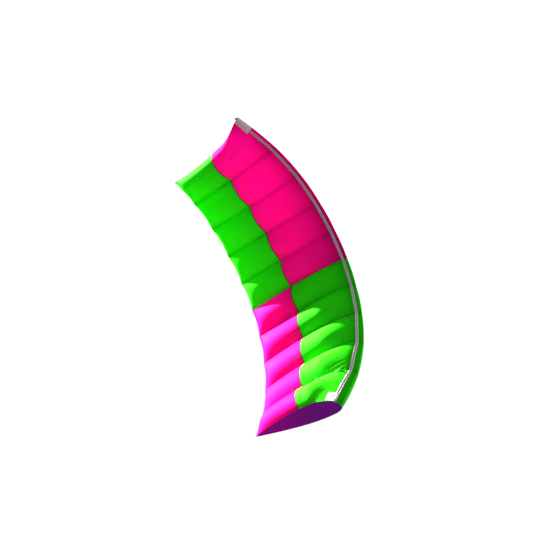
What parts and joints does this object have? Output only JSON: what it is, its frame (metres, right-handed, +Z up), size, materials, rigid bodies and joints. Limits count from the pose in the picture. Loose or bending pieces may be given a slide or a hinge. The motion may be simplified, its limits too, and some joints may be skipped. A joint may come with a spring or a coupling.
{
  "type": "ram-air kitesurf kite canopy",
  "caption": "Ram-air kite canopy inflated in its flying arc, with chequered lower panels, grey mesh air intake band along the leading edge and closed purple end ribs.",
  "frame": {"origin": "bottom edge of the middle bridle tab in the plane of the centre rib", "axes": "+X along the span to the left wing tip, -Y towards the leading edge, +Z up from the bridle to the canopy"},
  "size_m": [2.6771, 1.0605, 0.9166],
  "materials": {
    "ripstop_pink": "pink coated ripstop nylon, satin",
    "ripstop_green": "green coated ripstop nylon, satin",
    "ripstop_purple": "purple coated ripstop nylon, satin",
    "rib_fabric": "white coated ripstop nylon",
    "intake_mesh": "grey open mesh",
    "load_webbing": "woven polyester webbing, black at the pull tabs, tapes dyed like the cloth",
    "flap_fabric": "pale grey woven polyester, matt"
  },
  "bodies": {
    "centre": {"lower_front_panel_5": "ripstop_pink", "lower_rear_panel_5": "ripstop_green", "upper_panel_5": "ripstop_pink", "lower_front_panel_6": "ripstop_green", "lower_rear_panel_6": "ripstop_pink", "upper_panel_6": "ripstop_green", "rib_4": "rib_fabric", "rib_5": "rib_fabric", "rib_6": "rib_fabric", "intake_band_3": "intake_mesh", "load_tape_rib_5": "load_webbing"},
    "mid_right": {"lower_front_panel_3": "ripstop_pink", "lower_rear_panel_3": "ripstop_green", "upper_panel_3": "ripstop_pink", "lower_front_panel_4": "ripstop_pink", "lower_rear_panel_4": "ripstop_green", "upper_panel_4": "ripstop_pink", "rib_2": "rib_fabric", "rib_3": "rib_fabric", "intake_band_2": "intake_mesh", "load_tape_rib_3": "load_webbing"},
    "tip_right": {"lower_front_panel_1": "ripstop_pink", "lower_rear_panel_1": "ripstop_green", "upper_panel_1": "ripstop_pink", "lower_front_panel_2": "ripstop_pink", "lower_rear_panel_2": "ripstop_green", "upper_panel_2": "ripstop_pink", "end_rib_right": "ripstop_purple", "rib_1": "rib_fabric", "intake_band_1": "intake_mesh", "load_tape_rib_1": "load_webbing"},
    "mid_left": {"lower_front_panel_7": "ripstop_green", "lower_rear_panel_7": "ripstop_pink", "upper_panel_7": "ripstop_green", "lower_front_panel_8": "ripstop_green", "lower_rear_panel_8": "ripstop_pink", "upper_panel_8": "ripstop_green", "rib_8": "rib_fabric", "rib_7": "rib_fabric", "intake_band_4": "intake_mesh", "load_tape_rib_7": "load_webbing"},
    "tip_left": {"lower_front_panel_9": "ripstop_green", "lower_rear_panel_9": "ripstop_pink", "upper_panel_9": "ripstop_green", "lower_front_panel_10": "ripstop_green", "lower_rear_panel_10": "ripstop_pink", "upper_panel_10": "ripstop_green", "end_rib_left": "ripstop_purple", "rib_9": "rib_fabric", "intake_band_5": "intake_mesh", "load_tape_rib_9": "load_webbing"},
    "flap_right": {"emptying_flap_right": "flap_fabric", "pull_tab_right": "load_webbing"},
    "flap_left": {"emptying_flap_left": "flap_fabric", "pull_tab_left": "load_webbing"}
  },
  "joints": [
    {"name": "arc_mid_right", "type": "hinge", "parent": "centre", "child": "mid_right", "pos_m": [-0.24887, -0.04199, -0.01612], "axis": [-0.0004, -1, -0.0001], "range_deg": [0, 10], "stiffness_Nm_per_rad": 6, "springref_deg": -51.57},
    {"name": "arc_tip_right", "type": "hinge", "parent": "mid_right", "child": "tip_right", "pos_m": [-0.75385, -0.02658, -0.23062], "axis": [-0.0164, -0.9998, -0.0105], "range_deg": [0, 10], "stiffness_Nm_per_rad": 6, "springref_deg": -51.57},
    {"name": "arc_mid_left", "type": "hinge", "parent": "centre", "child": "mid_left", "pos_m": [0.24887, -0.04199, -0.01612], "axis": [-0.0004, 1, 0.0001], "range_deg": [0, 10], "stiffness_Nm_per_rad": 6, "springref_deg": -51.57},
    {"name": "arc_tip_left", "type": "hinge", "parent": "mid_left", "child": "tip_left", "pos_m": [0.75385, -0.02658, -0.23062], "axis": [-0.0164, 0.9998, 0.0105], "range_deg": [0, 10], "stiffness_Nm_per_rad": 6, "springref_deg": -51.57},
    {"name": "flap_hinge_right", "type": "hinge", "parent": "tip_right", "child": "flap_right", "pos_m": [-1.2779, -0.21404, -0.60617], "axis": [-0.6439, 0.2565, -0.7208], "range_deg": [0, 120]},
    {"name": "flap_hinge_left", "type": "hinge", "parent": "tip_left", "child": "flap_left", "pos_m": [1.24295, -0.17944, -0.62154], "axis": [-0.6596, -0.294, 0.6918], "range_deg": [0, 120]}
  ],
  "couplings": [
    {"joint": "arc_tip_right", "follows": "arc_mid_right", "ratio": 1},
    {"joint": "arc_tip_left", "follows": "arc_mid_left", "ratio": 1}
  ]
}
